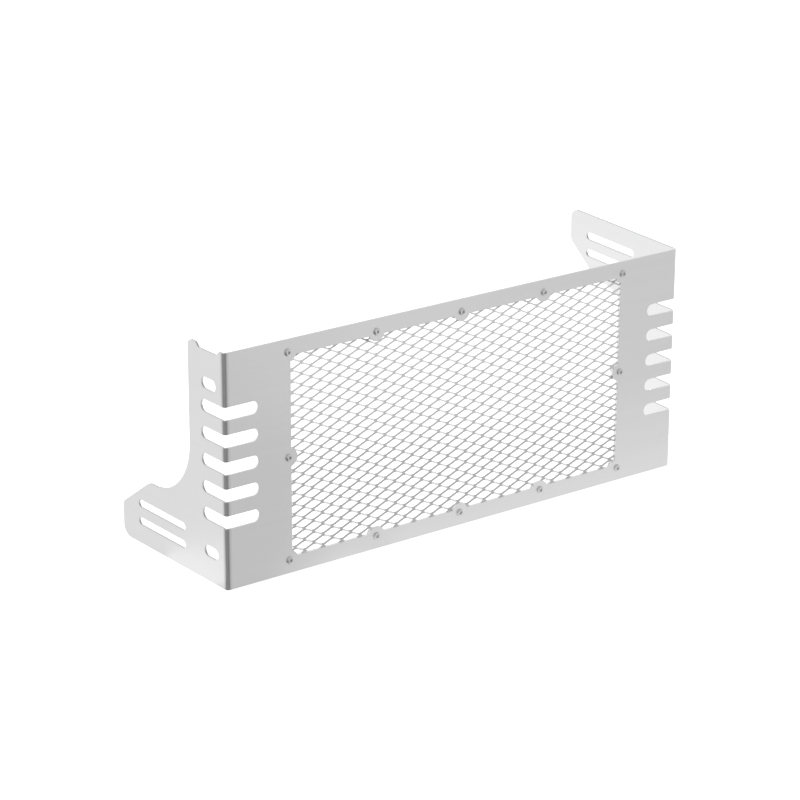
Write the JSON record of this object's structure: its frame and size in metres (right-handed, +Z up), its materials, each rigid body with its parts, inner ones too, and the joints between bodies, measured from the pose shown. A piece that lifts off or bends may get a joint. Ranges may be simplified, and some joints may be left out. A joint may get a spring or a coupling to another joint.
{
  "type": "motorcycle radiator guard",
  "caption": "Folded stainless sheet guard with an expanded mesh window screwed on from behind, slotted folds and two side wings whose tails sit low on one side and high on the other.",
  "frame": {"origin": "bottom centre of the guard's box: midway between the wings, midway from screw heads to tail ends, at the level of the lower edges it stands on", "axes": "+Z up the guard's height, +Y from the front face back along the wings, +X to the right seen from the front"},
  "size_m": [0.4098, 0.1296, 0.172],
  "materials": {
    "sheet": "long fine grain, satin",
    "mesh": "cut and stretched, plain",
    "screw": "smooth, half bright",
    "washer": "stamped, satin",
    "nut": "machined, satin"
  },
  "bodies": {
    "root": {"guard_plate": "sheet", "mesh_panel": "mesh", "screw_1": "screw", "screw_2": "screw", "screw_3": "screw", "screw_4": "screw", "screw_5": "screw", "screw_6": "screw", "screw_7": "screw", "screw_8": "screw", "screw_9": "screw", "screw_10": "screw", "screw_11": "screw", "screw_12": "screw", "washer_1": "washer", "washer_2": "washer", "washer_3": "washer", "washer_4": "washer", "washer_5": "washer", "washer_6": "washer", "washer_7": "washer", "washer_8": "washer", "washer_9": "washer", "washer_10": "washer", "washer_11": "washer", "washer_12": "washer", "nut_1": "nut", "nut_2": "nut", "nut_3": "nut", "nut_4": "nut", "nut_5": "nut", "nut_6": "nut", "nut_7": "nut", "nut_8": "nut", "nut_9": "nut", "nut_10": "nut", "nut_11": "nut", "nut_12": "nut"}
  },
  "joints": []
}
